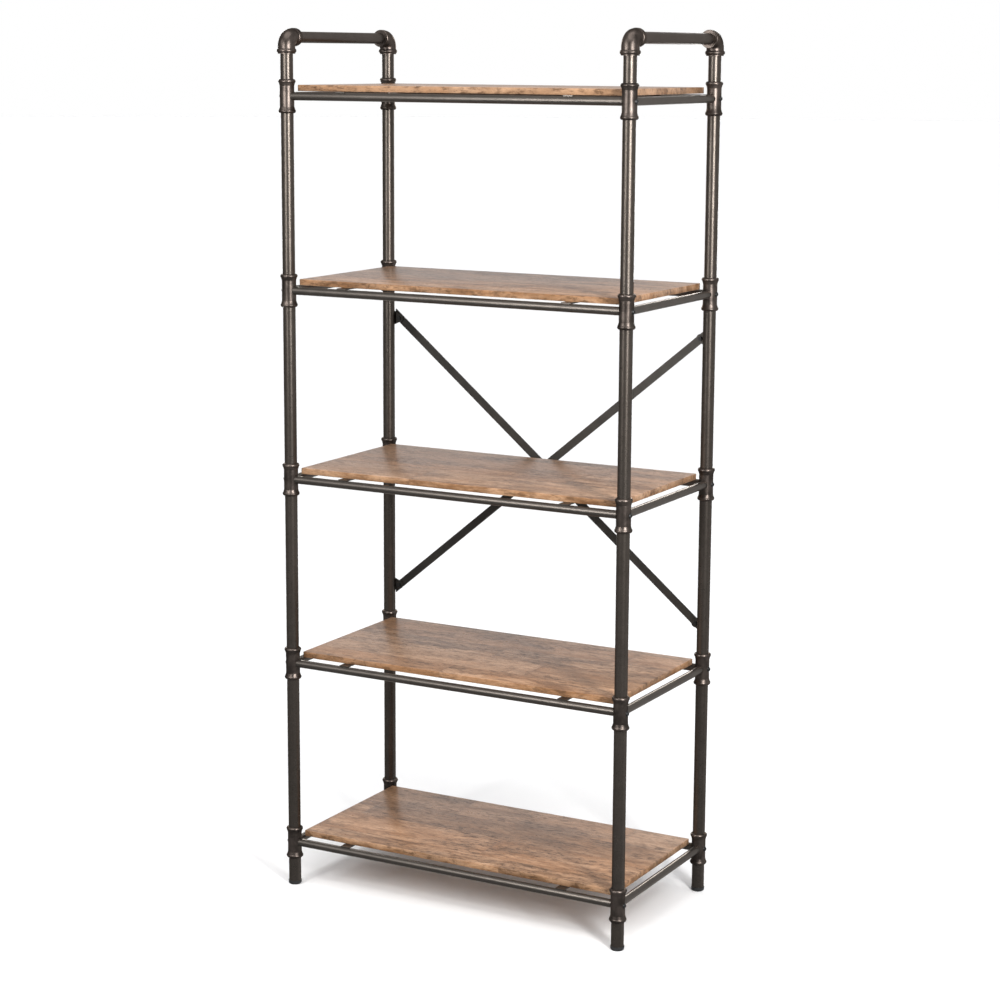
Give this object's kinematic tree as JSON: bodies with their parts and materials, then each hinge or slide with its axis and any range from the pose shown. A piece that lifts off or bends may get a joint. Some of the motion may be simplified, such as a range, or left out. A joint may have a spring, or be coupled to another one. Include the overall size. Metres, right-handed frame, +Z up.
{
  "type": "open bookcase",
  "caption": "Tall open bookcase: pipe-style metal frame with coupling rings and top hand bars, wooden shelves on bolted rails, X-brace at the back.",
  "frame": {"origin": "on the floor, midway between the four posts", "axes": "+Z up; front faces -Y; +X to the viewer's right when facing the front"},
  "size_m": [0.7804, 0.4144, 1.7413],
  "materials": {
    "frame_metal": "satin gunmetal-bronze enamel",
    "fitting_metal": "slightly mottled satin gunmetal-bronze enamel",
    "rail_metal": "satin gunmetal-bronze enamel",
    "brace_metal": "satin dark enamel",
    "shelf_wood": "semi-gloss weathered plank grain",
    "foot_plastic": "satin black plastic",
    "bolt_black": "black oxide",
    "insert_steel": "zinc plated"
  },
  "bodies": {
    "root": {"post_left_front": "frame_metal", "post_left_rear": "frame_metal", "post_right_front": "frame_metal", "post_right_rear": "frame_metal", "couplings_left_front": "fitting_metal", "couplings_left_rear": "fitting_metal", "couplings_right_front": "fitting_metal", "couplings_right_rear": "fitting_metal", "elbow_left_front": "fitting_metal", "elbow_left_rear": "fitting_metal", "elbow_right_front": "fitting_metal", "elbow_right_rear": "fitting_metal", "foot_cap_left_front": "foot_plastic", "foot_cap_left_rear": "foot_plastic", "foot_cap_right_front": "foot_plastic", "foot_cap_right_rear": "foot_plastic", "top_bar_left": "frame_metal", "top_bar_right": "frame_metal", "side_rail_left_1": "rail_metal", "side_rail_left_2": "rail_metal", "side_rail_left_3": "rail_metal", "side_rail_left_4": "rail_metal", "side_rail_left_5": "rail_metal", "side_rail_right_1": "rail_metal", "side_rail_right_2": "rail_metal", "side_rail_right_3": "rail_metal", "side_rail_right_4": "rail_metal", "side_rail_right_5": "rail_metal", "front_rail_1": "rail_metal", "front_rail_2": "rail_metal", "front_rail_3": "rail_metal", "front_rail_4": "rail_metal", "front_rail_5": "rail_metal", "rear_rail_1": "rail_metal", "rear_rail_2": "rail_metal", "rear_rail_3": "rail_metal", "rear_rail_4": "rail_metal", "rear_rail_5": "rail_metal", "support_bars_1": "rail_metal", "support_bars_2": "rail_metal", "support_bars_3": "rail_metal", "support_bars_4": "rail_metal", "support_bars_5": "rail_metal", "shelf_board_1": "shelf_wood", "shelf_board_2": "shelf_wood", "shelf_board_3": "shelf_wood", "shelf_board_4": "shelf_wood", "shelf_board_5": "shelf_wood", "rail_bolts": "bolt_black", "rail_inserts": "insert_steel", "shelf_screws": "bolt_black", "brace_bar_a": "brace_metal", "brace_bar_b": "brace_metal", "brace_lugs": "brace_metal", "brace_bolts": "bolt_black", "brace_nuts": "bolt_black", "brace_centre_screw": "bolt_black"}
  },
  "joints": []
}
